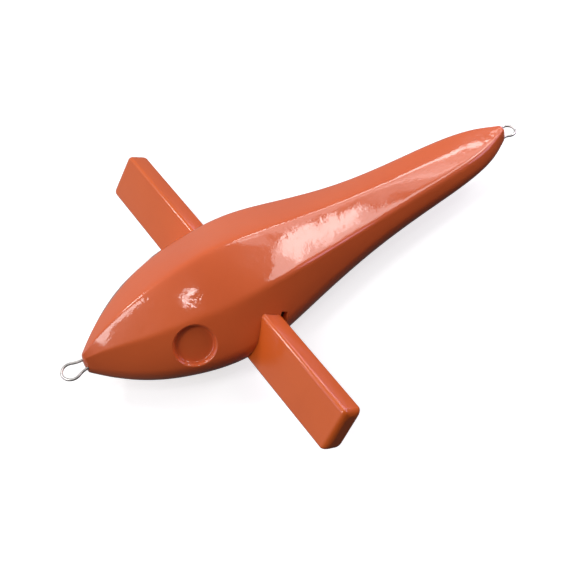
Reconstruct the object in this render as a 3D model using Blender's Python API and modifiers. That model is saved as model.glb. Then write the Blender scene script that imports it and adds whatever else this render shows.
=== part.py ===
"""Surface trolling bird: a fish-shaped float with two push-in wings, held by one looped wire.

Hull frame: +X to the nose, +Y to the bird's left, +Z up. The wire lies in the plane z = 0,
which is also the joint between the two hull shells. An empty lifts that frame so that the
flat of the belly stands on the ground and the middle of the overall length is at x = 0.
All dimensions are millimetres, turned into metres by MM where they are used.
"""
import math

import bmesh
import bpy
import numpy as np
from mathutils import Matrix, Vector

MM = 0.001

# Hull lines: at each station x, the height of the back ridge, the half-width and height of
# the chine, the half-width at the joint plane, and the depth of the belly.
HULL_LINES = [
    # x,     ridge, chine_y, chine_z, half_width, belly
    (119.5,   6.5,   1.2,   5.0,   2.6,   5.0),
    (112.0,  12.3,   5.4,   9.4,   9.8,  10.5),
    (100.0,  19.2,  11.6,  13.4,  19.8,  15.8),
    (80.0,   26.0,  19.0,  17.0,  30.2,  20.4),
    (55.0,   29.6,  23.2,  18.0,  35.6,  23.4),
    (30.0,   26.4,  23.6,  17.6,  31.8,  23.6),
    (5.0,    20.4,  20.3,  13.6,  25.7,  21.2),
    (-25.0,  14.5,  15.8,   9.0,  19.8,  17.4),
    (-60.0,  10.4,  12.7,   7.4,  16.0,  13.6),
    (-90.0,   7.9,  10.3,   7.0,  13.6,   9.9),
    (-108.0,  6.3,   6.3,   6.3,   9.0,   6.6),
    (-119.5,  5.4,   1.6,   5.0,   2.6,   3.8),
]
KEEL_DEPTH = 22.5          # the belly is flat at this depth, so that the bird stands
RIDGE_CROWN = 1.15         # 1 makes the back panels flat, more rounds them off
BELLY_FULLNESS = 0.9       # 1 makes the belly an ellipse, less squares it up
BACK_STEPS, SIDE_STEPS, BELLY_STEPS = 3, 4, 6
RING_SPACING = 8.0

WALL = 2.5
JOINT_GAP = 0.3            # between the two shells
FIT_GAP = 0.4              # between the shells and what lies inside them
CAVITY_FRONT, CAVITY_REAR = 101.0, -86.0

# Wings: flat boards that lean back, pushed into a socket from each side
WING_CHORD, WING_THICKNESS = 22.8, 10.9
WING_TILT = math.radians(56.6)
WING_EDGE_X, WING_EDGE_Z = 44.6, 10.0     # the leading upper edge
WING_TIP_Y = 92.9
WING_ROUNDING = 1.6
SOCKET_END_Y = 6.0
SOCKET_CLEARANCE = 0.35
SOCKET_WALL = 2.0
CARRIER_WIDTH = 54.0       # before it is trimmed to the inside of the hull
SLOT_CLEARANCE = 0.5
SLOT_BACK_CLEARANCE = 1.6

# Wire frame: one closed loop of wire, with an eye at the nose and one at the tail
WIRE_RADIUS = 0.65
WIRE_HALF_SPACING = 2.5
EYE_RADIUS = 3.6
FLARE_RADIUS = 4.0
NOSE_EYE_X, TAIL_EYE_X = 127.2, -123.3
WIRE_CLEARANCE = 0.3
CLAMP_SIZE = (6.0, 9.6, 3.4)
NOSE_CLAMP_X, TAIL_CLAMP_X = 108.0, -104.0

# Round recess for an eye, in each side of the head
EYE_X, EYE_SIDE_FRACTION = 76.2, 0.46
EYE_RECESS_RADIUS, EYE_RECESS_DEPTH = 9.3, 2.6
EYE_BOSS_RADIUS, EYE_BOSS_DEPTH = 12.0, 5.8
EYE_BOSS_START = 1.0       # above the skin, from where it is trimmed to the middle of the wall

# Flotation foam: (rear, front) of the blocks ahead of the wings and behind them
FOAM_WIRE_GAP = 1.3
FOAM_FRONT = (61.5, 100.5)
FOAM_REAR = (-85.0, 31.0)

# Ballast bar, on two posts of the lower shell
BALLAST_SIZE = (40.0, 14.0, 6.5)
BALLAST_X, BALLAST_BOTTOM = 8.0, -15.0
SCREW_SPACING = 26.0
SCREW_HEAD_RADIUS, SCREW_HEAD_HEIGHT = 3.0, 2.0
SCREW_SHANK_RADIUS, SCREW_LENGTH = 1.5, 9.8
SCREW_TIP = 1.5
SCREW_HOLE_RADIUS = 1.8
POST_RADIUS = 4.0
PILOT_DEPTH = 3.4
BALLAST_WELL_GAP = 0.5
BALLAST_WELL_HEADROOM = 1.0

# Cutters reach this far past what they cut
OVERCUT = 2.0
EYE_OVERCUT = 6.0
SIDEWAYS_REACH = 160.0
LENGTHWISE_REACH = 300.0
UP_DOWN_REACH = 60.0
SOCKET_REACH = 40.0

ORANGE = (0.62, 0.105, 0.03, 1.0)
GREY = (0.16, 0.16, 0.17, 1.0)
FOAM_WHITE = (0.82, 0.82, 0.78, 1.0)
STEEL = (0.62, 0.62, 0.64, 1.0)
IRON = (0.22, 0.22, 0.23, 1.0)


# ---------------------------------------------------------------- scene set-up

def clear_scene():
    for obj in list(bpy.data.objects):
        bpy.data.objects.remove(obj, do_unlink=True)


def new_collection(name):
    collection = bpy.data.collections.new(name)
    bpy.context.scene.collection.children.link(collection)
    return collection


def material(name, colour, roughness, metallic=0.0):
    made = bpy.data.materials.new(name)
    made.use_nodes = True
    shader = made.node_tree.nodes["Principled BSDF"]
    shader.inputs["Base Color"].default_value = colour
    shader.inputs["Roughness"].default_value = roughness
    shader.inputs["Metallic"].default_value = metallic
    made.diffuse_color = colour
    return made


def overall_middle_x():
    front = NOSE_EYE_X + EYE_RADIUS + WIRE_RADIUS
    rear = TAIL_EYE_X - EYE_RADIUS - WIRE_RADIUS
    return (front + rear) / 2


def hull_empty(collection):
    empty = bpy.data.objects.new("hull_frame", None)
    empty.location = Vector((-overall_middle_x(), 0, KEEL_DEPTH)) * MM
    collection.objects.link(empty)
    return empty


clear_scene()
PARTS = new_collection("trolling_bird")
CUTTERS = new_collection("cutters")
HULL = hull_empty(PARTS)

HULL_PAINT = material("hull_paint", ORANGE, 0.12)
WING_PAINT = material("wing_paint", ORANGE, 0.32)
INNER_PLASTIC = material("inner_plastic", GREY, 0.5)
FOAM = material("foam", FOAM_WHITE, 0.9)
WIRE_STEEL = material("wire_steel", STEEL, 0.22, 1.0)
BALLAST_IRON = material("ballast_iron", IRON, 0.6, 1.0)


# ---------------------------------------------------------------- helpers

def add_object(name, data, collection, surface=None):
    obj = bpy.data.objects.new(name, data)
    obj.parent = HULL
    collection.objects.link(obj)
    if surface:
        data.materials.append(surface)
    return obj


def mesh_object(name, bm, collection, surface=None):
    bmesh.ops.recalc_face_normals(bm, faces=bm.faces)
    mesh = bpy.data.meshes.new(name)
    bm.to_mesh(mesh)
    bm.free()
    return add_object(name, mesh, collection, surface)


def as_guide(obj):
    obj.hide_render = True
    obj.display_type = "WIRE"
    return obj


def box(name, size, centre, collection=None, surface=None, tilt=0.0):
    """A box of the given size in mm, turned about Y by tilt."""
    bm = bmesh.new()
    bmesh.ops.create_cube(bm, size=1.0)
    bmesh.ops.scale(bm, vec=Vector(size) * MM, verts=bm.verts)
    obj = mesh_object(name, bm, collection or CUTTERS, surface)
    obj.location = Vector(centre) * MM
    obj.rotation_euler = (0, tilt, 0)
    return obj if collection else as_guide(obj)


def rod(name, radius, start, end, segments=24):
    """A cylinder in the cutters collection, from start to end."""
    axis = Vector(end) - Vector(start)
    bm = bmesh.new()
    bmesh.ops.create_cone(bm, cap_ends=True, segments=segments, radius1=radius * MM,
                          radius2=radius * MM, depth=axis.length * MM)
    turn = axis.to_track_quat("Z", "Y").to_matrix().to_4x4()
    middle = Matrix.Translation((Vector(start) + Vector(end)) / 2 * MM)
    bmesh.ops.transform(bm, matrix=middle @ turn, verts=bm.verts)
    return as_guide(mesh_object(name, bm, CUTTERS))


def boolean(obj, operation, *others):
    for other in others:
        step = obj.modifiers.new(f"{operation.lower()}_{other.name}", "BOOLEAN")
        step.operation = operation
        step.object = other
        step.solver = "EXACT"


def smooth(obj, angle=35):
    obj.data.shade_smooth()
    obj.data.set_sharp_from_angle(angle=math.radians(angle))


# ---------------------------------------------------------------- hull shape

def spline_through(xs, ys):
    """A natural cubic spline through the points, as a function of x."""
    xs, ys = np.array(xs), np.array(ys)
    gaps, rises = np.diff(xs), np.diff(ys) / np.diff(xs)
    size = len(xs)
    left = np.eye(size)
    right = np.zeros(size)
    for i in range(1, size - 1):
        left[i, i - 1:i + 2] = gaps[i - 1], 2 * (gaps[i - 1] + gaps[i]), gaps[i]
        right[i] = 6 * (rises[i] - rises[i - 1])
    bend = np.linalg.solve(left, right)

    def value(x):
        i = int(np.clip(np.searchsorted(xs, x) - 1, 0, size - 2))
        a, b = xs[i + 1] - x, x - xs[i]
        cubic = (bend[i] * a ** 3 + bend[i + 1] * b ** 3) / (6 * gaps[i])
        return float(cubic + (ys[i] / gaps[i] - bend[i] * gaps[i] / 6) * a
                     + (ys[i + 1] / gaps[i] - bend[i + 1] * gaps[i] / 6) * b)

    return value


def hull_curves():
    columns = list(zip(*reversed(HULL_LINES)))
    return [spline_through(columns[0], column) for column in columns[1:]]


HULL_CURVES = hull_curves()


def side_point(x, fraction):
    """A point on the side, from the chine at fraction 0 to the joint plane at 1."""
    _, chine_y, chine_z, width, _ = (curve(x) for curve in HULL_CURVES)
    y = chine_y + (width - chine_y) * math.sin(fraction * math.pi / 2)
    return Vector((x, y, chine_z * (1 - fraction)))


def half_section(x):
    """The left half of the hull's outline at x, from the ridge down to the keel."""
    ridge, chine_y, chine_z, width, belly = (curve(x) for curve in HULL_CURVES)
    points = []
    for i in range(BACK_STEPS):
        s = i / BACK_STEPS
        points.append((chine_y * s, ridge + (chine_z - ridge) * s ** RIDGE_CROWN))
    for i in range(SIDE_STEPS):
        side = side_point(x, i / SIDE_STEPS)
        points.append((side.y, side.z))
    for i in range(BELLY_STEPS + 1):
        turn = i / BELLY_STEPS * math.pi / 2
        y = width * max(math.cos(turn), 0) ** BELLY_FULLNESS
        z = -belly * math.sin(turn) ** BELLY_FULLNESS
        points.append((y if i < BELLY_STEPS else 0.0, max(z, -KEEL_DEPTH)))
    return [Vector(point) for point in points]


def inset_section(x, inset):
    """half_section moved inwards by inset, which keeps its ends on the middle plane."""
    points = half_section(x)
    moved = []
    for i, point in enumerate(points):
        before = points[i - 1] if i else Vector((-points[1].x, points[1].y))
        after = points[i + 1] if i + 1 < len(points) else Vector((-points[-2].x, points[-2].y))
        along = (after - before).normalized()
        inwards = Vector((along.y, -along.x))
        moved.append(point + inwards * inset)
    moved[0].x = moved[-1].x = 0.0
    return moved


def ring_positions(front, rear):
    count = max(2, round((front - rear) / RING_SPACING))
    return [front + (rear - front) * i / count for i in range(count + 1)]


def hull_loft(name, collection, inset=0.0, front=119.5, rear=-119.5, surface=None):
    """The closed body between the hull's outline sections, moved inwards by inset."""
    bm = bmesh.new()
    rings = []
    for x in ring_positions(front, rear):
        half = inset_section(x, inset)
        outline = half + [Vector((-p.x, p.y)) for p in reversed(half[1:-1])]
        rings.append([bm.verts.new(Vector((x, p.x, p.y)) * MM) for p in outline])
    for ring, following in zip(rings, rings[1:]):
        for i in range(len(ring)):
            j = (i + 1) % len(ring)
            bm.faces.new((ring[i], ring[j], following[j], following[i]))
    bm.faces.new(rings[0])
    bm.faces.new(reversed(rings[-1]))
    bmesh.ops.triangulate(bm, faces=bm.faces)
    obj = mesh_object(name, bm, collection, surface)
    return as_guide(obj) if collection == CUTTERS else obj


# ---------------------------------------------------------------- cutters

def half_space(name, bottom, top):
    """Everything between two heights."""
    size = (LENGTHWISE_REACH, SIDEWAYS_REACH, top - bottom)
    return box(name, size, (0, 0, (top + bottom) / 2))


def wing_centre():
    """The middle of the wing board's section."""
    along = Vector((math.cos(WING_TILT), 0, -math.sin(WING_TILT)))
    back = Vector((-math.sin(WING_TILT), 0, -math.cos(WING_TILT)))
    edge = Vector((WING_EDGE_X, 0, WING_EDGE_Z))
    return edge + along * WING_CHORD / 2 + back * WING_THICKNESS / 2


def wing_slot():
    """Cuts the shells' openings, with more room behind the board than in front."""
    back = Vector((-math.sin(WING_TILT), 0, -math.cos(WING_TILT)))
    extra = SLOT_BACK_CLEARANCE - SLOT_CLEARANCE
    size = (WING_CHORD + 2 * SLOT_CLEARANCE, SIDEWAYS_REACH,
            WING_THICKNESS + SLOT_CLEARANCE + SLOT_BACK_CLEARANCE)
    return box("wing_slot", size, wing_centre() + back * extra / 2, tilt=WING_TILT)


def wing_pocket(side, name):
    """Cuts one blind socket into the wing carrier."""
    size = (WING_CHORD + 2 * SOCKET_CLEARANCE, SOCKET_REACH,
            WING_THICKNESS + 2 * SOCKET_CLEARANCE)
    centre = wing_centre() + Vector((0, side * (SOCKET_END_Y + SOCKET_REACH / 2), 0))
    return box(name, size, centre, tilt=WING_TILT)


def wire_channel():
    width = 2 * (WIRE_HALF_SPACING + WIRE_RADIUS + WIRE_CLEARANCE)
    height = 2 * (WIRE_RADIUS + WIRE_CLEARANCE)
    return box("wire_channel", (LENGTHWISE_REACH, width, height), (0, 0, 0))


def clamp_pocket(name, x):
    return box(name, [size + 2 * WIRE_CLEARANCE for size in CLAMP_SIZE], (x, 0, 0))


def eye_frame(side):
    """The middle of an eye recess on the skin, and the direction straight out of it."""
    step = 0.5
    middle = side_point(EYE_X, EYE_SIDE_FRACTION)
    along = side_point(EYE_X + step, EYE_SIDE_FRACTION) - middle
    down = side_point(EYE_X, EYE_SIDE_FRACTION + step / 10) - middle
    out = down.cross(along).normalized()
    if out.y < 0:
        out.negate()
    flip = Vector((1, side, 1))
    return middle * flip, out * flip


def eye_rod(name, side, radius, outer, depth):
    """A rod along an eye's axis, from outer above the skin to depth below it."""
    middle, out = eye_frame(side)
    return rod(name, radius, middle + out * outer, middle - out * depth, 32)


SIDES = ((1, "left"), (-1, "right"))
UPPER_HALF = half_space("upper_half", JOINT_GAP / 2, UP_DOWN_REACH)
LOWER_HALF = half_space("lower_half", -UP_DOWN_REACH, -JOINT_GAP / 2)
MID_WALL = hull_loft("mid_wall", CUTTERS, WALL / 2, CAVITY_FRONT, CAVITY_REAR)
CAVITY = hull_loft("cavity", CUTTERS, WALL, CAVITY_FRONT, CAVITY_REAR)
INSIDE = hull_loft("inside", CUTTERS, WALL + FIT_GAP, CAVITY_FRONT - FIT_GAP,
                   CAVITY_REAR + FIT_GAP)
SLOT = wing_slot()
CHANNEL = wire_channel()
NOSE_POCKET = clamp_pocket("nose_clamp_pocket", NOSE_CLAMP_X)
TAIL_POCKET = clamp_pocket("tail_clamp_pocket", TAIL_CLAMP_X)


# ---------------------------------------------------------------- parts

def screw_positions():
    return [("front", BALLAST_X + SCREW_SPACING / 2), ("rear", BALLAST_X - SCREW_SPACING / 2)]


def upper_shell():
    shell = hull_loft("upper_shell", PARTS, surface=HULL_PAINT)
    boolean(shell, "DIFFERENCE", CAVITY)
    for side, word in SIDES:
        boss = eye_rod(f"eye_boss_{word}", side, EYE_BOSS_RADIUS, EYE_BOSS_START,
                       EYE_BOSS_DEPTH)
        boolean(boss, "INTERSECT", MID_WALL)
        boolean(shell, "UNION", boss)
    for side, word in SIDES:
        recess = eye_rod(f"eye_recess_{word}", side, EYE_RECESS_RADIUS, EYE_OVERCUT,
                         EYE_RECESS_DEPTH)
        boolean(shell, "DIFFERENCE", recess)
    boolean(shell, "INTERSECT", UPPER_HALF)
    boolean(shell, "DIFFERENCE", SLOT, CHANNEL, NOSE_POCKET, TAIL_POCKET)


def lower_shell():
    shell = hull_loft("lower_shell", PARTS, surface=HULL_PAINT)
    boolean(shell, "DIFFERENCE", CAVITY)
    top = BALLAST_BOTTOM - JOINT_GAP
    for word, x in screw_positions():
        post = rod(f"post_{word}", POST_RADIUS, (x, 0, -KEEL_DEPTH - OVERCUT), (x, 0, top))
        boolean(post, "INTERSECT", MID_WALL)
        boolean(shell, "UNION", post)
    boolean(shell, "INTERSECT", LOWER_HALF)
    boolean(shell, "DIFFERENCE", SLOT, CHANNEL, NOSE_POCKET, TAIL_POCKET)
    for word, x in screw_positions():
        pilot = rod(f"pilot_{word}", SCREW_HOLE_RADIUS, (x, 0, top + OVERCUT),
                    (x, 0, top - PILOT_DEPTH), 16)
        boolean(shell, "DIFFERENCE", pilot)


def wing_carrier():
    """The inner moulding with a blind socket from each side and the wire through its web."""
    margin = 2 * (SOCKET_CLEARANCE + SOCKET_WALL)
    size = (WING_CHORD + margin, CARRIER_WIDTH, WING_THICKNESS + margin)
    carrier = box("wing_carrier", size, wing_centre(), PARTS, INNER_PLASTIC, WING_TILT)
    boolean(carrier, "INTERSECT", INSIDE)
    for side, word in SIDES:
        boolean(carrier, "DIFFERENCE", wing_pocket(side, f"wing_pocket_{word}"))
    boolean(carrier, "DIFFERENCE", CHANNEL)


def wings():
    root = SOCKET_END_Y + JOINT_GAP
    for side, word in SIDES:
        centre = wing_centre() + Vector((0, side * (root + WING_TIP_Y) / 2, 0))
        size = (WING_CHORD, WING_TIP_Y - root, WING_THICKNESS)
        wing = box(f"wing_{word}", size, centre, PARTS, WING_PAINT, WING_TILT)
        edge = wing.modifiers.new("rounded_edges", "BEVEL")
        edge.width = WING_ROUNDING * MM
        edge.segments = 3
        smooth(wing)


def eye_outline(eye_x, direction):
    """Half of one wire eye, from its leg at +Y round to its outermost point."""
    reach = math.sqrt((EYE_RADIUS + FLARE_RADIUS) ** 2 - (WIRE_HALF_SPACING + FLARE_RADIUS) ** 2)
    swing = math.acos((WIRE_HALF_SPACING + FLARE_RADIUS) / (EYE_RADIUS + FLARE_RADIUS))
    points = []
    for i in range(4):
        turn = swing * i / 4
        points.append((-reach + FLARE_RADIUS * math.sin(turn),
                       WIRE_HALF_SPACING + FLARE_RADIUS * (1 - math.cos(turn))))
    for i in range(9):
        turn = math.pi / 2 + swing + (-math.pi / 2 - swing) * i / 8
        points.append((EYE_RADIUS * math.cos(turn), EYE_RADIUS * math.sin(turn)))
    return [(eye_x + direction * x, y) for x, y in points]


def wire_frame():
    """One closed wire: the nose eye, a straight leg each side, and the tail eye."""
    nose = eye_outline(NOSE_EYE_X, 1)
    tail = eye_outline(TAIL_EYE_X, -1)
    left = list(reversed(tail)) + nose
    right = [(x, -y) for x, y in reversed(left[1:-1])]
    outline = left + right
    curve = bpy.data.curves.new("wire_frame", "CURVE")
    curve.dimensions = "3D"
    curve.bevel_depth = WIRE_RADIUS * MM
    curve.bevel_resolution = 2
    line = curve.splines.new("POLY")
    line.points.add(len(outline) - 1)
    for point, (x, y) in zip(line.points, outline):
        point.co = (x * MM, y * MM, 0, 1)
    line.use_cyclic_u = True
    add_object("wire_frame", curve, PARTS, WIRE_STEEL)


def wire_clamps():
    """A folded steel block near each end, which ties the two legs and bears on the shells."""
    reach = CLAMP_SIZE[0] / 2 + OVERCUT
    for name, x in (("wire_clamp_nose", NOSE_CLAMP_X), ("wire_clamp_tail", TAIL_CLAMP_X)):
        clamp = box(name, CLAMP_SIZE, (x, 0, 0), PARTS, WIRE_STEEL)
        for side, word in SIDES:
            y = side * WIRE_HALF_SPACING
            hole = rod(f"{name}_hole_{word}", WIRE_RADIUS + WIRE_CLEARANCE, (x - reach, y, 0),
                       (x + reach, y, 0), 12)
            boolean(clamp, "DIFFERENCE", hole)


def ballast_well():
    """Cuts the room for the ballast bar and its screws into the foam."""
    length, width, height = BALLAST_SIZE
    top = BALLAST_BOTTOM + height + JOINT_GAP + SCREW_HEAD_HEIGHT + BALLAST_WELL_HEADROOM
    size = (length + 2 * BALLAST_WELL_GAP, width + 2 * BALLAST_WELL_GAP, top + UP_DOWN_REACH)
    return box("ballast_well", size, (BALLAST_X, 0, (top - UP_DOWN_REACH) / 2))


def foam_blocks():
    """Four flotation blocks, above and below the wire, ahead of and behind the wings."""
    above = half_space("above_wire", FOAM_WIRE_GAP, UP_DOWN_REACH)
    below = half_space("below_wire", -UP_DOWN_REACH, -FOAM_WIRE_GAP)
    blocks = {}
    for place, (rear, front) in (("front", FOAM_FRONT), ("rear", FOAM_REAR)):
        for level, half in (("upper", above), ("lower", below)):
            name = f"foam_{place}_{level}"
            block = hull_loft(name, PARTS, WALL + FIT_GAP, front, rear, FOAM)
            boolean(block, "INTERSECT", half)
            blocks[name] = block
    for side, word in SIDES:
        hollow = eye_rod(f"foam_hollow_{word}", side, EYE_BOSS_RADIUS + FIT_GAP, EYE_OVERCUT,
                         EYE_BOSS_DEPTH + FIT_GAP)
        boolean(blocks["foam_front_upper"], "DIFFERENCE", hollow)
    boolean(blocks["foam_rear_lower"], "DIFFERENCE", ballast_well())


def ballast():
    height = BALLAST_SIZE[2]
    bar = box("ballast_bar", BALLAST_SIZE, (BALLAST_X, 0, BALLAST_BOTTOM + height / 2), PARTS,
              BALLAST_IRON)
    for word, x in screw_positions():
        hole = rod(f"ballast_hole_{word}", SCREW_HOLE_RADIUS, (x, 0, BALLAST_BOTTOM - OVERCUT),
                   (x, 0, BALLAST_BOTTOM + height + OVERCUT), 16)
        boolean(bar, "DIFFERENCE", hole)


def screw_profile():
    head, shank = SCREW_HEAD_RADIUS, SCREW_SHANK_RADIUS
    height = SCREW_HEAD_HEIGHT
    return [(0, height), (head * 0.7, height), (head, height * 0.4), (head, 0), (shank, 0),
            (shank, SCREW_TIP - SCREW_LENGTH), (0, -SCREW_LENGTH)]


def ballast_screws():
    under_head = BALLAST_BOTTOM + BALLAST_SIZE[2] + JOINT_GAP
    profile = screw_profile()
    edges = [(i, i + 1) for i in range(len(profile) - 1)]
    for word, x in screw_positions():
        mesh = bpy.data.meshes.new(f"ballast_screw_{word}")
        mesh.from_pydata([(r * MM, 0, z * MM) for r, z in profile], edges, [])
        screw = add_object(f"ballast_screw_{word}", mesh, PARTS, WIRE_STEEL)
        screw.location = Vector((x, 0, under_head)) * MM
        turn = screw.modifiers.new("turned", "SCREW")
        turn.steps = turn.render_steps = 16
        turn.use_merge_vertices = True
        turn.merge_threshold = 0.00001


upper_shell()
lower_shell()
wing_carrier()
wings()
wire_frame()
wire_clamps()
foam_blocks()
ballast()
ballast_screws()
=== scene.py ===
"""Looks for the trolling bird: glossy painted hull, satin wings, bright wire, soft studio light."""

import math

import bmesh
import bpy
import numpy as np
from mathutils import Matrix, Vector
from mathutils.bvhtree import BVHTree


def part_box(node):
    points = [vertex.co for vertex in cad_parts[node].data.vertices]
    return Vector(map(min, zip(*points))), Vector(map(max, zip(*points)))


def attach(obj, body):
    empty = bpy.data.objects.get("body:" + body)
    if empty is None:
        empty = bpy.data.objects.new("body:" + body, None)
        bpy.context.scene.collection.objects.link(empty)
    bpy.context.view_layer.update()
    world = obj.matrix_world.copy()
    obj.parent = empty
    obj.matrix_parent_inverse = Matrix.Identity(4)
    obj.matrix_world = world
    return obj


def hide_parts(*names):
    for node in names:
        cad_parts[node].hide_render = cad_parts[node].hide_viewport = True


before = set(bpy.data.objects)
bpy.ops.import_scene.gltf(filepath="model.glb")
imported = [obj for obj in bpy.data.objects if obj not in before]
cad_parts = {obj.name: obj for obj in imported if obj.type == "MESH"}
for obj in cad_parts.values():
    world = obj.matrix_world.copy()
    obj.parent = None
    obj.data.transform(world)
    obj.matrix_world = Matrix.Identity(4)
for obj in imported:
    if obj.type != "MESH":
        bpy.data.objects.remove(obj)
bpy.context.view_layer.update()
scene = bpy.context.scene
MM = 0.001
SAME_PLACE = 0.000001      # metres; vertices closer than this are merged

# ---------------------------------------------------------------- hull frame
# The hull frame has x = 0 midway between the hull's two ends and z = 0 on the wire's plane.

SHELL_LOW, SHELL_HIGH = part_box("upper_shell")
WIRE_LOW, WIRE_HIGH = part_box("wire_frame")
ORIGIN = Vector(((SHELL_LOW.x + SHELL_HIGH.x) / 2, 0, (WIRE_LOW.z + WIRE_HIGH.z) / 2))
HALF_LENGTH = (SHELL_HIGH.x - SHELL_LOW.x) / 2 / MM
KEEL_DEPTH = ORIGIN.z / MM


def place(x, y, z):
    """Hull-frame millimetres as metres in the row's frame."""
    return ORIGIN + Vector((x, y, z)) * MM


# Hull lines: ridge height, chine half-width and height, half-width at the wire's plane, and
# belly depth at each station x, the same as the CAD model's.
HULL_LINES = [
    (119.5,   6.5,   1.2,   5.0,   2.6,   5.0),
    (112.0,  12.3,   5.4,   9.4,   9.8,  10.5),
    (100.0,  19.2,  11.6,  13.4,  19.8,  15.8),
    (80.0,   26.0,  19.0,  17.0,  30.2,  20.4),
    (55.0,   29.6,  23.2,  18.0,  35.6,  23.4),
    (30.0,   26.4,  23.6,  17.6,  31.8,  23.6),
    (5.0,    20.4,  20.3,  13.6,  25.7,  21.2),
    (-25.0,  14.5,  15.8,   9.0,  19.8,  17.4),
    (-60.0,  10.4,  12.7,   7.4,  16.0,  13.6),
    (-90.0,   7.9,  10.3,   7.0,  13.6,   9.9),
    (-108.0,  6.3,   6.3,   6.3,   9.0,   6.6),
    (-119.5,  5.4,   1.6,   5.0,   2.6,   3.8),
]
NOSE_CROWN, TAIL_CROWN = 1.10, 1.30    # how round the back panels are beside the ridge
SIDE_BULGE = 0.35          # 0 makes the sides flat from the chine to the wire's plane
BELLY_FULLNESS = 0.9
BACK_STEPS, SIDE_STEPS, BELLY_STEPS = 26, 22, 30
RING_COUNT = 200
SKIN_SMOOTH_ANGLE = 32
NOSE_EDGE_PASSES, TAIL_EDGE_PASSES = 3, 55    # how much the edges are softened
SOFTEST_BEHIND = 100.0     # distance behind the middle where that reaches its most
NOSE_ROUNDING, TAIL_ROUNDING = 0.8, 1.2
END_RINGS = 9              # rings round each rounded end
END_TUCK = 0.002           # keeps the end rings just clear of a zero-size section
WALL = 2.5
CAVITY_FRONT, CAVITY_REAR = 101.0, -86.0
CAVITY_RINGS, CAVITY_POINT_STEP = 48, 4

# Wings
WING_TILT = math.radians(56.6)
WING_CHORD, WING_THICKNESS = 22.8, 10.9
WING_EDGE_ROUNDING = 1.7
WING_EDGE_WIDENING = 0.35  # growth of the edge rounding per mm of inset, at the ends
WING_ROOT_ROUNDING, WING_TIP_ROUNDING = 1.0, 3.0
WING_ROOT_STEPS, WING_TIP_STEPS, WING_CORNER_STEPS = 4, 10, 7
WING_SMOOTH_ANGLE = 40
SLOT_CLEARANCE, SLOT_BACK_CLEARANCE = 0.12, 3.2
SLOT_TOP_CLEARANCE = 1.4   # above the board's back edge, where the slot is roughly cut
SLOT_ROUNDING, GAP_ROUNDING, SLOT_ROUNDING_STEPS = 1.6, 0.9, 5
GAP_OVERLAP = 0.8          # how far the gap's cutter runs into the slot's
SLOT_CUT_SPAN = 160        # both cutters run across the whole hull

# Wire
WIRE_RADIUS = 0.65
WIRE_HALF_SPACING = 2.5
NOSE_EYE_X, NOSE_EYE_RADIUS, NOSE_FLARE_RADIUS = 125.9, 4.3, 14.0
TAIL_EYE_X, TAIL_EYE_RADIUS, TAIL_FLARE_RADIUS = -123.3, 3.6, 4.0
WIRE_SMOOTH_ANGLE = 60
WIRE_BEVEL_STEPS = 6
FLARE_STEPS, EYE_STEPS = 8, 24
WIRE_HOLE_RADIUS, WIRE_HOLE_SEGMENTS = 0.95, 24
NOSE_HOLE, TAIL_HOLE = (98, 125), (-83, -125)    # from the cavity out through the end

# Eye recess
EYE_X, EYE_SIDE_FRACTION = 77.1, 0.50
EYE_FLOOR_RADIUS, EYE_WALL_RADIUS, EYE_DEPTH = 7.9, 8.8, 3.4
EYE_LIP = 2.6              # radius of the rounded lip
EYE_LIP_SWEEP = 62         # degrees of it, from the wall outwards
EYE_BOSS_RADIUS, EYE_BOSS_DEPTH, EYE_BOSS_OVERLAP = 12.5, 6.0, 2.0
EYE_SPOKES = 96
EYE_FLOOR_RINGS = (2.0, 5.0, 7.0)
EYE_CORNER_STEPS, EYE_LIP_STEPS = 4, 9
EYE_LIP_TOP = 0.15         # the lip's circle meets the skin this far above it
EYE_CUTTER_SPREAD, EYE_CUTTER_TOP = 1.5, 6.0    # how far the cutter runs on past the lip
EYE_RAY_START = 15.0       # distance outside the skin from where the rays are cast
MISSED_SKIN = -4.0         # height used where a ray passes the hull by


# ---------------------------------------------------------------- small helpers

def new_object(name, bm):
    mesh = bpy.data.meshes.new(name)
    bm.to_mesh(mesh)
    bm.free()
    obj = bpy.data.objects.new(name, mesh)
    scene.collection.objects.link(obj)
    return obj


def apply_modifiers(obj):
    """Bakes the modifiers into the mesh."""
    graph = bpy.context.evaluated_depsgraph_get()
    graph.update()
    mesh = bpy.data.meshes.new_from_object(obj.evaluated_get(graph))
    obj.modifiers.clear()
    obj.data = mesh


def cut_away(obj, cutters):
    """Takes each cutter out of the object, and then removes the cutters."""
    for cutter in cutters:
        step = obj.modifiers.new(cutter.name, "BOOLEAN")
        step.operation = "DIFFERENCE"
        step.object = cutter
        step.solver = "EXACT"
    apply_modifiers(obj)
    for cutter in cutters:
        bpy.data.objects.remove(cutter, do_unlink=True)


def smooth(obj, angle):
    obj.data.shade_smooth()
    obj.data.set_sharp_from_angle(angle=math.radians(angle))


def rod(name, radius, start, end, segments=32):
    """A cylinder between two points of the hull frame, in mm."""
    a, b = place(*start), place(*end)
    axis = b - a
    bm = bmesh.new()
    bmesh.ops.create_cone(bm, cap_ends=True, segments=segments, radius1=radius * MM,
                          radius2=radius * MM, depth=axis.length)
    turn = axis.to_track_quat("Z", "Y").to_matrix().to_4x4()
    bmesh.ops.transform(bm, matrix=Matrix.Translation((a + b) / 2) @ turn, verts=bm.verts)
    return new_object(name, bm)


def skin_over(bm, rings):
    """Faces between the rings, a cap at each end, and all of them turned outwards."""
    for ring, following in zip(rings, rings[1:]):
        for i in range(len(ring)):
            j = (i + 1) % len(ring)
            bm.faces.new((ring[i], ring[j], following[j], following[i]))
    bm.faces.new(rings[0])
    bm.faces.new(reversed(rings[-1]))
    bmesh.ops.recalc_face_normals(bm, faces=bm.faces)


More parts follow.
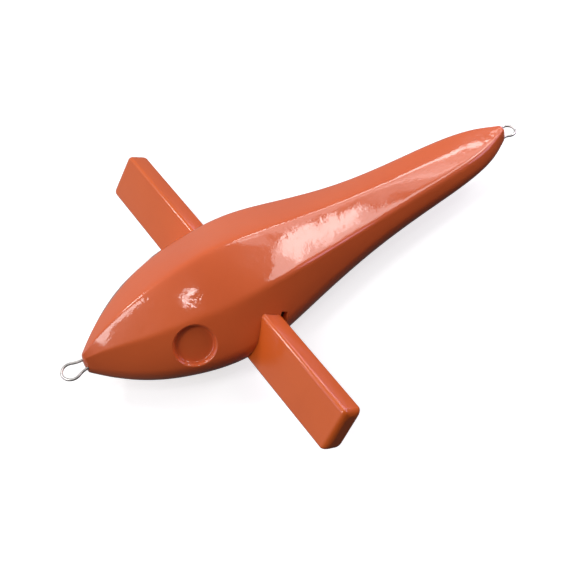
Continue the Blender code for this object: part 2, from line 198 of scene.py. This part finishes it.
def turns_to(steps, sweep=math.pi / 2):
    """Evenly spaced angles from 0 to the sweep, a quarter turn unless another is given."""
    return [i / steps * sweep for i in range(steps + 1)]


# ---------------------------------------------------------------- hull shape

def spline_through(xs, ys):
    """A natural cubic spline through the points, as a function of x."""
    xs, ys = np.array(xs), np.array(ys)
    gaps, rises = np.diff(xs), np.diff(ys) / np.diff(xs)
    size = len(xs)
    left = np.eye(size)
    right = np.zeros(size)
    for i in range(1, size - 1):
        left[i, i - 1:i + 2] = gaps[i - 1], 2 * (gaps[i - 1] + gaps[i]), gaps[i]
        right[i] = 6 * (rises[i] - rises[i - 1])
    bend = np.linalg.solve(left, right)

    def value(x):
        i = int(np.clip(np.searchsorted(xs, x) - 1, 0, size - 2))
        a, b = xs[i + 1] - x, x - xs[i]
        cubic = (bend[i] * a ** 3 + bend[i + 1] * b ** 3) / (6 * gaps[i])
        return float(cubic + (ys[i] / gaps[i] - bend[i] * gaps[i] / 6) * a
                     + (ys[i + 1] / gaps[i] - bend[i + 1] * gaps[i] / 6) * b)

    return value


COLUMNS = list(zip(*reversed(HULL_LINES)))
HULL_CURVES = [spline_through(COLUMNS[0], column) for column in COLUMNS[1:]]


def side_reach(fraction):
    """How far out the side has come at a fraction of its height, from 0 to 1."""
    return fraction + SIDE_BULGE * (np.sin(fraction * math.pi / 2) - fraction)


def side_point(x, fraction):
    """A point on the side, from the chine at fraction 0 to the wire's plane at 1."""
    _, chine_y, chine_z, width, _ = (curve(x) for curve in HULL_CURVES)
    y = chine_y + (width - chine_y) * float(side_reach(fraction))
    return Vector((x, y, chine_z * (1 - fraction)))


def half_section(x):
    """The left half of the outline at x, as (y, z) rows from the ridge down to the keel."""
    ridge, chine_y, chine_z, width, belly = (curve(x) for curve in HULL_CURVES)
    crown = TAIL_CROWN + (NOSE_CROWN - TAIL_CROWN) * (x + HALF_LENGTH) / (2 * HALF_LENGTH)
    back = np.arange(BACK_STEPS) / BACK_STEPS
    side = np.arange(SIDE_STEPS) / SIDE_STEPS
    turn = np.arange(BELLY_STEPS + 1) / BELLY_STEPS * math.pi / 2
    y = [chine_y * back,
         chine_y + (width - chine_y) * side_reach(side),
         width * np.clip(np.cos(turn), 0, 1) ** BELLY_FULLNESS]
    z = [ridge + (chine_z - ridge) * back ** crown,
         chine_z * (1 - side),
         np.maximum(-belly * np.sin(turn) ** BELLY_FULLNESS, -KEEL_DEPTH)]
    points = np.column_stack([np.concatenate(y), np.concatenate(z)])
    points[-1, 0] = 0.0
    return points


def full_section(x):
    half = half_section(x)
    mirrored = half[-2:0:-1] * (-1, 1)
    return np.vstack([half, mirrored])


def rounded(section, x):
    """Softens the ridge, chines and keel, a little at the head and more towards the tail."""
    towards_tail = min(max(-x / SOFTEST_BEHIND, 0.0), 1.0) ** 2
    passes = NOSE_EDGE_PASSES + (TAIL_EDGE_PASSES - NOSE_EDGE_PASSES) * towards_tail
    for _ in range(round(passes)):
        middle = (np.roll(section, 1, 0) + np.roll(section, -1, 0)) / 2
        section = (section + middle) / 2
    return section


def end_scale(x):
    """How much a section shrinks towards its middle, to round the two ends."""
    rounding = NOSE_ROUNDING if x > 0 else TAIL_ROUNDING
    beyond = (abs(x) - (HALF_LENGTH - rounding)) / rounding
    return math.sqrt(max(1 - max(beyond, 0) ** 2, 0.0))


def inset(section, amount):
    """The closed section moved inwards."""
    along = np.roll(section, -1, 0) - np.roll(section, 1, 0)
    along /= np.linalg.norm(along, axis=1)[:, None]
    return section + amount * np.column_stack([along[:, 1], -along[:, 0]])


def outer_ring(x):
    section = rounded(full_section(x), x)
    middle = np.array([0.0, (section[:, 1].max() + section[:, 1].min()) / 2])
    return middle + (section - middle) * end_scale(x)


def cavity_ring(x):
    return inset(rounded(full_section(x), x), WALL)[::CAVITY_POINT_STEP]


def ring_positions():
    """Evenly spaced along the hull, and closer together where the ends are rounded."""
    xs = list(np.linspace(HALF_LENGTH, -HALF_LENGTH, RING_COUNT))
    turns = np.linspace(0, math.pi / 2, END_RINGS)[1:-1]
    xs[0] -= END_TUCK
    xs[-1] += END_TUCK
    xs += [HALF_LENGTH - NOSE_ROUNDING * (1 - math.sin(t)) for t in turns]
    xs += [TAIL_ROUNDING * (1 - math.sin(t)) - HALF_LENGTH for t in turns]
    return sorted(xs, reverse=True)


def loft(name, xs, ring_at):
    bm = bmesh.new()
    skin_over(bm, [[bm.verts.new(place(x, y, z)) for y, z in ring_at(x)] for x in xs])
    return new_object(name, bm)


# ---------------------------------------------------------------- cuts in the hull

def eye_frame(side):
    """Middle of an eye recess on the skin, and the direction straight out of it, in mm."""
    step = 0.5
    middle = side_point(EYE_X, EYE_SIDE_FRACTION)
    along = side_point(EYE_X + step, EYE_SIDE_FRACTION) - middle
    down = side_point(EYE_X, EYE_SIDE_FRACTION + step / 10) - middle
    out = down.cross(along).normalized()
    if out.y < 0:
        out.negate()
    flip = Vector((1, side, 1))
    return middle * flip, out * flip


def eye_profile():
    """(radius, height) rows of the eye cutter: floor, rounded corner, wall and flared lip."""
    rows = [(radius, -EYE_DEPTH) for radius in EYE_FLOOR_RINGS]
    corner = EYE_WALL_RADIUS - EYE_FLOOR_RADIUS
    for turn in turns_to(EYE_CORNER_STEPS):
        rows.append((EYE_FLOOR_RADIUS + corner * math.sin(turn),
                     -EYE_DEPTH + corner * (1 - math.cos(turn))))
    sweep = math.radians(EYE_LIP_SWEEP)
    rise = EYE_LIP * math.sin(sweep)
    for turn in turns_to(EYE_LIP_STEPS, sweep):
        rows.append((EYE_WALL_RADIUS + EYE_LIP * (1 - math.cos(turn)),
                     EYE_LIP_TOP - rise + EYE_LIP * math.sin(turn)))
    radius, height = rows[-1]
    radius += EYE_CUTTER_SPREAD
    rows.append((radius, height + EYE_CUTTER_SPREAD / math.tan(sweep)))
    rows.append((radius, height + EYE_CUTTER_TOP))
    return rows


def eye_cutter(side, tree):
    """A cutter whose lip follows the skin all round the recess."""
    middle, out = eye_frame(side)
    across = out.cross(Vector((0, 0, 1))).normalized()
    up = across.cross(out)
    bm = bmesh.new()
    rings = []
    for radius, height in eye_profile():
        ring = []
        for i in range(EYE_SPOKES):
            turn = 2 * math.pi * i / EYE_SPOKES
            offset = (across * math.cos(turn) + up * math.sin(turn)) * radius
            start = place(*(middle + offset + out * EYE_RAY_START))
            hit = tree.ray_cast(start, -out)[0]
            skin = (hit - place(*middle)).dot(out) / MM if hit else MISSED_SKIN
            blend = min(max((height + EYE_DEPTH) / EYE_DEPTH, 0.0), 1.0)
            lift = height + skin * blend
            ring.append(bm.verts.new(place(*(middle + offset + out * lift))))
        rings.append(ring)
    skin_over(bm, rings)
    return new_object(f"eye_cutter_{side}", bm)


def wing_directions():
    """Unit vectors down along the board's chord and straight out of its back face."""
    along = Vector((math.cos(WING_TILT), 0, -math.sin(WING_TILT)))
    back = Vector((-math.sin(WING_TILT), 0, -math.cos(WING_TILT)))
    return along, back


def wing_middle():
    """The middle of the board's section, from the CAD wing's box."""
    low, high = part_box("wing_left")
    return Vector(((low.x + high.x) / 2, 0, (low.z + high.z) / 2))


def tilt(bm, centre):
    """Tilts the mesh as the wings are and moves it to the centre."""
    turn = Matrix.Rotation(WING_TILT, 4, "Y")
    bmesh.ops.transform(bm, matrix=Matrix.Translation(centre) @ turn, verts=bm.verts)


def tilted_block(name, size, centre, rounding):
    """A rounded block of the given size in mm, tilted as the wings are."""
    bm = bmesh.new()
    bmesh.ops.create_cube(bm, size=1.0)
    bmesh.ops.scale(bm, vec=Vector(size) * MM, verts=bm.verts)
    bmesh.ops.bevel(bm, geom=bm.edges, offset=rounding * MM, segments=SLOT_ROUNDING_STEPS,
                    profile=0.5, affect="EDGES")
    tilt(bm, centre)
    return new_object(name, bm)


def slot_cutters():
    """The snug slot for each board, and the wider gap along its back face."""
    along, back = wing_directions()
    slot_size = (WING_CHORD + 2 * SLOT_CLEARANCE, SLOT_CUT_SPAN,
                 WING_THICKNESS + 2 * SLOT_CLEARANCE)
    slot = tilted_block("slot_cutter", slot_size, wing_middle(), SLOT_ROUNDING)
    depth = GAP_OVERLAP + SLOT_BACK_CLEARANCE
    gap_size = (WING_CHORD + SLOT_TOP_CLEARANCE, SLOT_CUT_SPAN, depth)
    shift = -along * SLOT_TOP_CLEARANCE / 2
    shift += back * (WING_THICKNESS / 2 + SLOT_BACK_CLEARANCE - depth / 2)
    gap = tilted_block("gap_cutter", gap_size, wing_middle() + shift * MM, GAP_ROUNDING)
    return [slot, gap]


def cavity_cutter():
    """The hollow of the hull, less the bosses behind the eye recesses."""
    cavity = loft("cavity", np.linspace(CAVITY_FRONT, CAVITY_REAR, CAVITY_RINGS), cavity_ring)
    bosses = []
    for side in (1, -1):
        middle, out = eye_frame(side)
        bosses.append(rod(f"boss_{side}", EYE_BOSS_RADIUS, middle + out * EYE_BOSS_OVERLAP,
                          middle - out * EYE_BOSS_DEPTH))
    cut_away(cavity, bosses)
    return cavity


def wire_holes():
    holes = []
    for side in (1, -1):
        y = side * WIRE_HALF_SPACING
        for word, (inner, outer) in (("nose", NOSE_HOLE), ("tail", TAIL_HOLE)):
            holes.append(rod(f"{word}_hole_{side}", WIRE_HOLE_RADIUS, (inner, y, 0),
                             (outer, y, 0), WIRE_HOLE_SEGMENTS))
    return holes


def hull_skin():
    skin = loft("hull_skin", ring_positions(), outer_ring)
    tree = BVHTree.FromObject(skin, bpy.context.evaluated_depsgraph_get())
    cutters = [cavity_cutter(), *slot_cutters(), eye_cutter(1, tree), eye_cutter(-1, tree)]
    cut_away(skin, cutters + wire_holes())
    smooth(skin, SKIN_SMOOTH_ANGLE)
    return skin


# ---------------------------------------------------------------- wings and wire

def rounded_rectangle(width, height, radius):
    """Points round a rectangle with rounded corners, centred on the origin."""
    points = []
    for quarter in range(4):
        middle_turn = math.pi / 4 + quarter * math.pi / 2
        corner_x = math.copysign(width / 2 - radius, math.cos(middle_turn))
        corner_z = math.copysign(height / 2 - radius, math.sin(middle_turn))
        for within in turns_to(WING_CORNER_STEPS):
            turn = quarter * math.pi / 2 + within
            points.append((corner_x + radius * math.cos(turn), corner_z + radius * math.sin(turn)))
    return points


def wing_rings(length):
    """(distance from the root, inset) rows: rounded a little at the root, more at the tip."""
    root = [(WING_ROOT_ROUNDING * (1 - math.sin(turn)), WING_ROOT_ROUNDING * (1 - math.cos(turn)))
            for turn in reversed(turns_to(WING_ROOT_STEPS))]
    tip = [(length - WING_TIP_ROUNDING * (1 - math.sin(turn)),
            WING_TIP_ROUNDING * (1 - math.cos(turn)))
           for turn in turns_to(WING_TIP_STEPS)]
    return root + tip


def wing_board(side, word):
    low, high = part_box(f"wing_{word}")
    centre = (low + high) / 2
    length = (high.y - low.y) / MM
    bm = bmesh.new()
    rings = []
    for distance, inset_by in wing_rings(length):
        radius = WING_EDGE_ROUNDING + inset_by * WING_EDGE_WIDENING
        outline = rounded_rectangle(WING_CHORD - 2 * inset_by, WING_THICKNESS - 2 * inset_by,
                                    min(radius, WING_THICKNESS / 2 - inset_by))
        y = side * (distance - length / 2)
        rings.append([bm.verts.new(Vector((x, y, z)) * MM) for x, z in outline])
    skin_over(bm, rings)
    bmesh.ops.remove_doubles(bm, verts=bm.verts, dist=SAME_PLACE)
    tilt(bm, centre)
    wing = new_object(f"wing_board_{word}", bm)
    smooth(wing, WING_SMOOTH_ANGLE)
    return wing


def eye_outline(eye_x, radius, flare, direction):
    """Half of one wire eye, from its leg at +Y round to its outermost point."""
    reach = math.sqrt((radius + flare) ** 2 - (WIRE_HALF_SPACING + flare) ** 2)
    swing = math.acos((WIRE_HALF_SPACING + flare) / (radius + flare))
    points = []
    for turn in turns_to(FLARE_STEPS, swing)[:-1]:
        points.append((-reach + flare * math.sin(turn),
                       WIRE_HALF_SPACING + flare * (1 - math.cos(turn))))
    for turn in reversed(turns_to(EYE_STEPS, math.pi / 2 + swing)):
        points.append((radius * math.cos(turn), radius * math.sin(turn)))
    return [(eye_x + direction * x, y) for x, y in points]


def wire_loop():
    """The whole wire as a mesh: both eyes and the straight legs through the hull."""
    nose = eye_outline(NOSE_EYE_X, NOSE_EYE_RADIUS, NOSE_FLARE_RADIUS, 1)
    tail = eye_outline(TAIL_EYE_X, TAIL_EYE_RADIUS, TAIL_FLARE_RADIUS, -1)
    left = list(reversed(tail)) + nose
    outline = left + [(x, -y) for x, y in reversed(left[1:-1])]
    curve = bpy.data.curves.new("wire_loop_path", "CURVE")
    curve.dimensions = "3D"
    curve.bevel_depth = WIRE_RADIUS * MM
    curve.bevel_resolution = WIRE_BEVEL_STEPS
    line = curve.splines.new("POLY")
    line.points.add(len(outline) - 1)
    for point, (x, y) in zip(line.points, outline):
        point.co = (*place(x, y, 0), 1)
    line.use_cyclic_u = True
    path = bpy.data.objects.new("wire_loop_path", curve)
    scene.collection.objects.link(path)
    graph = bpy.context.evaluated_depsgraph_get()
    mesh = bpy.data.meshes.new_from_object(path.evaluated_get(graph))
    wire = bpy.data.objects.new("wire_loop", mesh)
    scene.collection.objects.link(wire)
    bpy.data.objects.remove(path, do_unlink=True)
    smooth(wire, WIRE_SMOOTH_ANGLE)
    return wire


# ---------------------------------------------------------------- materials

class Nodes:
    """A new material, with short ways to add and join its nodes."""

    def __init__(self, name):
        self.material = bpy.data.materials.new(name)
        self.material.use_nodes = True
        self.tree = self.material.node_tree
        self.shader = self.tree.nodes["Principled BSDF"]
        self.place = self.add("ShaderNodeTexCoord").outputs["Object"]

    def add(self, kind, **settings):
        node = self.tree.nodes.new(kind)
        for key, value in settings.items():
            setattr(node, key, value)
        return node

    def join(self, source, target):
        self.tree.links.new(source, target)

    def noise(self, scale, detail=2.0, roughness=0.5, stretch=None):
        """Noise with about scale features to the metre."""
        node = self.add("ShaderNodeTexNoise")
        node.inputs["Scale"].default_value = scale
        node.inputs["Detail"].default_value = detail
        node.inputs["Roughness"].default_value = roughness
        source = self.place
        if stretch:
            mapping = self.add("ShaderNodeMapping")
            mapping.inputs["Scale"].default_value = stretch
            self.join(self.place, mapping.inputs["Vector"])
            source = mapping.outputs["Vector"]
        self.join(source, node.inputs["Vector"])
        return node.outputs["Fac"]

    def ramp(self, source, stops):
        """Maps a value through (position, colour or grey) stops."""
        node = self.add("ShaderNodeValToRGB")
        elements = node.color_ramp.elements
        while len(elements) < len(stops):
            elements.new(0.5)
        for element, (position, colour) in zip(elements, stops):
            element.position = position
            grey = isinstance(colour, (int, float))
            element.color = (colour, colour, colour, 1) if grey else (*colour, 1)
        self.join(source, node.inputs["Fac"])
        return node.outputs["Color"]

    def bump(self, height, distance, strength=1.0, before=None):
        node = self.add("ShaderNodeBump")
        node.inputs["Strength"].default_value = strength
        node.inputs["Distance"].default_value = distance
        self.join(height, node.inputs["Height"])
        if before:
            self.join(before, node.inputs["Normal"])
        return node.outputs["Normal"]

    def set(self, **values):
        for key, value in values.items():
            target = self.shader.inputs[key.replace("_", " ")]
            if isinstance(value, bpy.types.NodeSocket):
                self.join(value, target)
            else:
                target.default_value = value
        return self.material


def hull_paint():
    """Thick glossy orange paint: slow waves, fine orange peel and a few dust specks."""
    n = Nodes("hull_paint")
    colour = n.ramp(n.noise(22, 3), [(0.3, (0.72, 0.121, 0.027)), (0.7, (0.78, 0.140, 0.032))])
    waves = n.bump(n.noise(60, 1.5, 0.5), 0.0011, 0.30)
    peel = n.bump(n.noise(500, 2), 0.00012, 0.35, waves)
    specks = n.ramp(n.noise(1500, 2), [(0.70, 0.0), (0.76, 1.0)])
    dusty = n.bump(specks, 0.00008, 0.5, peel)
    n.join(dusty, n.shader.inputs["Coat Normal"])
    rough = n.ramp(n.noise(90, 4), [(0.35, 0.05), (0.75, 0.12)])
    return n.set(Base_Color=colour, Roughness=0.38, Specular_IOR_Level=0.25, Coat_Weight=1.0,
                 Coat_Roughness=rough, Coat_IOR=1.5, Normal=peel)


def wing_paint():
    """The same orange on the wings, satin, with the fine grain of the moulded board."""
    n = Nodes("wing_paint")
    cloud = n.ramp(n.noise(30, 3), [(0.3, (0.73, 0.120, 0.011)), (0.7, (0.79, 0.138, 0.016))])
    grain = n.bump(n.noise(2200, 2), 0.00006, 0.25)
    soft = n.bump(n.noise(160, 2, 0.5, (1, 0.35, 1)), 0.0002, 0.20, grain)
    rough = n.ramp(n.noise(500, 3), [(0.3, 0.30), (0.8, 0.40)])
    return n.set(Base_Color=cloud, Roughness=rough, Specular_IOR_Level=0.35, Normal=soft,
                 Coat_Weight=1.0, Coat_Roughness=0.12)


def bright_steel(name, tone, roughness):
    n = Nodes(name)
    rough = n.ramp(n.noise(900, 3, 0.6), [(0.3, roughness), (0.8, roughness + 0.14)])
    bright = (tone, tone * 0.97, tone * 0.93)
    colour = n.ramp(n.noise(300, 2), [(0.3, bright), (0.8, tuple(c * 0.8 for c in bright))])
    scratch = n.bump(n.noise(2500, 2, 0.5, (0.1, 1, 1)), 0.00003, 0.4)
    return n.set(Base_Color=colour, Metallic=1.0, Roughness=rough, Normal=scratch)


def inner_plastic():
    n = Nodes("inner_plastic")
    grain = n.bump(n.noise(2200, 2), 0.00006, 0.5)
    colour = n.ramp(n.noise(60, 3), [(0.3, (0.045, 0.045, 0.048)), (0.7, (0.07, 0.07, 0.075))])
    return n.set(Base_Color=colour, Roughness=0.5, Normal=grain)


def foam():
    """Closed-cell foam: rounded cells a millimetre or two across."""
    n = Nodes("foam")
    cells = n.add("ShaderNodeTexVoronoi", feature="SMOOTH_F1")
    cells.inputs["Scale"].default_value = 550
    n.join(n.place, cells.inputs["Vector"])
    height = n.bump(cells.outputs["Distance"], 0.0006, 0.6)
    colour = n.ramp(n.noise(80, 2), [(0.3, (0.80, 0.79, 0.74)), (0.7, (0.88, 0.87, 0.83))])
    return n.set(Base_Color=colour, Roughness=0.9, Normal=height)


def cast_iron():
    n = Nodes("cast_iron")
    lumps = n.bump(n.noise(900, 4, 0.65), 0.0003, 0.7)
    colour = n.ramp(n.noise(250, 4), [(0.3, (0.055, 0.053, 0.052)), (0.75, (0.12, 0.11, 0.10))])
    return n.set(Base_Color=colour, Metallic=0.8, Roughness=0.62, Normal=lumps)


def floor_material():
    n = Nodes("studio_floor")
    tone = n.ramp(n.noise(6, 2), [(0.3, 0.58), (0.7, 0.60)])
    return n.set(Base_Color=tone, Roughness=0.85, Specular_IOR_Level=0.1,
                 Emission_Color=(1, 1, 1, 1), Emission_Strength=0.70)


def give(obj, material):
    """Puts the material on a new piece."""
    obj.data.materials.clear()
    obj.data.materials.append(material)


# ---------------------------------------------------------------- build the pieces

def make_hull():
    skin = hull_skin()
    give(skin, hull_paint())
    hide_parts("upper_shell", "lower_shell")
    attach(skin, "hull")


def make_wings():
    paint = wing_paint()
    for side, word in ((1, "left"), (-1, "right")):
        wing = wing_board(side, word)
        give(wing, paint)
        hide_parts(f"wing_{word}")
        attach(wing, f"{word}_wing")


def make_wire():
    wire = wire_loop()
    give(wire, bright_steel("wire_steel", 0.85, 0.38))
    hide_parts("wire_frame")
    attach(wire, "hull")


def finish_inner_parts():
    """Better materials on the CAD pieces that stay."""
    steel = bright_steel("dark_steel", 0.30, 0.25)
    white_foam = foam()
    looks = {"wing_carrier": inner_plastic(), "ballast_bar": cast_iron(),
             "wire_clamp_nose": steel, "wire_clamp_tail": steel,
             "ballast_screw_front": steel, "ballast_screw_rear": steel}
    for name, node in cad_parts.items():
        look = white_foam if name.startswith("foam_") else looks.get(name)
        for slot in node.material_slots if look else ():
            slot.material = look


# ---------------------------------------------------------------- studio

CAMERA_TARGET = (13.9, 1.4, -24.1)               # hull frame, mm
CAMERA_AZIMUTH, CAMERA_ELEVATION, CAMERA_ROLL = 149.8, 51.9, -4.8
CAMERA_DISTANCE = 534.0                          # mm from the target
CAMERA_LENS, SENSOR_WIDTH = 68.75, 36.0
CLIP_START = 0.02

# Studio surroundings: (position, grey) stops from the dim side to the bright one.
BRIGHT_SIDE = (0.45, -0.80, 0.40)
SKY_STOPS = ((0.0, 0.03), (0.5, 0.08), (0.75, 0.40), (1.0, 0.48))

FLOOR_RADIUS, FLOOR_DROP = 5.0, 0.0002           # the floor lies just under the belly


def direction(azimuth, elevation):
    """Unit vector towards a camera or light; azimuth 0 is at -Y, and it turns towards +X."""
    a, e = math.radians(azimuth), math.radians(elevation)
    return Vector((math.sin(a) * math.cos(e), -math.cos(a) * math.cos(e), math.sin(e)))


def make_camera():
    back = direction(CAMERA_AZIMUTH, CAMERA_ELEVATION)
    right = Vector((0, 0, 1)).cross(back).normalized()
    up = back.cross(right)
    roll = math.radians(CAMERA_ROLL)
    turned_right = right * math.cos(roll) + up * math.sin(roll)
    turned_up = up * math.cos(roll) - right * math.sin(roll)
    data = bpy.data.cameras.new("camera")
    data.sensor_width = SENSOR_WIDTH
    data.lens = CAMERA_LENS
    data.clip_start = CLIP_START
    camera = bpy.data.objects.new("camera", data)
    turn = Matrix((turned_right, turned_up, back)).transposed().to_4x4()
    stand = place(*CAMERA_TARGET) + back * CAMERA_DISTANCE * MM
    camera.matrix_world = Matrix.Translation(stand) @ turn
    scene.collection.objects.link(camera)
    scene.camera = camera


def softbox(name, azimuth, elevation, size, radiance, spin):
    """A rectangular lamp that looks at the hull; radiance sets how bright it looks."""
    data = bpy.data.lights.new(name, "AREA")
    data.shape = "RECTANGLE"
    data.size, data.size_y = size
    data.energy = radiance * math.pi * size[0] * size[1]
    lamp = bpy.data.objects.new(name, data)
    away = direction(azimuth, elevation)
    turn = away.to_track_quat("Z", "Y").to_matrix().to_4x4()
    spun = Matrix.Rotation(math.radians(spin), 4, "Z")
    lamp.matrix_world = Matrix.Translation(place(0, 0, 0) + away * LAMP_DISTANCE) @ turn @ spun
    lamp.visible_camera = False
    scene.collection.objects.link(lamp)
    return lamp


def sky(world):
    """Studio surroundings: brighter beyond the far side and the nose, dim behind and below."""
    tree = world.node_tree
    place_node = tree.nodes.new("ShaderNodeTexCoord")
    bright_side = tree.nodes.new("ShaderNodeVectorMath")
    bright_side.operation = "DOT_PRODUCT"
    bright_side.inputs[1].default_value = Vector(BRIGHT_SIDE).normalized()
    spread = tree.nodes.new("ShaderNodeMapRange")
    spread.inputs["From Min"].default_value = -1.0
    ramp = tree.nodes.new("ShaderNodeValToRGB")
    while len(ramp.color_ramp.elements) < len(SKY_STOPS):
        ramp.color_ramp.elements.new(0.5)
    for element, (position, grey) in zip(ramp.color_ramp.elements, SKY_STOPS):
        element.position = position
        element.color = (grey, grey, grey, 1)
    background = tree.nodes["Background"]
    tree.links.new(place_node.outputs["Generated"], bright_side.inputs[0])
    tree.links.new(bright_side.outputs["Value"], spread.inputs["Value"])
    tree.links.new(spread.outputs["Result"], ramp.inputs["Fac"])
    tree.links.new(ramp.outputs["Color"], background.inputs["Color"])


# Lamps as seen from the hull: azimuth, elevation, width and height in metres, radiance, spin.
LAMP_DISTANCE = 1.6
LAMPS = {
    "rear_pane": (261.6, 49.3, 1.10, 0.28, 4.9, -33),
    "rear_core": (272.5, 46.2, 0.34, 0.12, 6.5, -33),
    "rear_low": (291.0, 43.0, 0.41, 0.325, 2.5, 0),
    "rear_high": (293.0, 54.0, 0.30, 0.26, 3.6, 0),
    "rear_fade": (281.0, 54.0, 0.27, 0.20, 1.8, -20),
    "tail_line": (305.5, 43.5, 0.12, 0.40, 10.0, 0),
    "front_strip": (94.5, 50.0, 0.26, 1.00, 8.0, 0),
    "low_front": (76.0, 21.0, 0.80, 0.40, 2.3, 0),
    "low_rear": (292.0, 19.0, 0.80, 0.36, 3.6, 0),
    "left_rear": (246.0, 27.0, 0.80, 0.50, 2.8, 0),
    "wing_line": (37.0, 48.0, 0.36, 0.20, 24.0, 0),
    "small_lamp": (166.0, 70.5, 0.20, 0.07, 20.0, 0),
}
LOW_LAMPS = ("low_front", "low_rear", "left_rear")
LOW_TINT = (1.0, 0.72, 1.12)   # what lies low round the object is a little rosy


def make_lights():
    for name, (azimuth, elevation, width, height, radiance, spin) in LAMPS.items():
        lamp = softbox(name, azimuth, elevation, (width, height), radiance, spin)
        if name in LOW_LAMPS:
            lamp.data.color = LOW_TINT
    world = bpy.data.worlds.new("studio")
    scene.world = world
    world.use_nodes = True
    sky(world)


def make_floor():
    bm = bmesh.new()
    bmesh.ops.create_circle(bm, cap_ends=True, segments=64, radius=FLOOR_RADIUS)
    floor = new_object("floor", bm)
    floor.location.z = -FLOOR_DROP
    give(floor, floor_material())
    floor.visible_diffuse = floor.visible_glossy = False


make_hull()
make_wings()
make_wire()
finish_inner_parts()
make_camera()
make_lights()
make_floor()
scene.view_settings.view_transform = "Standard"
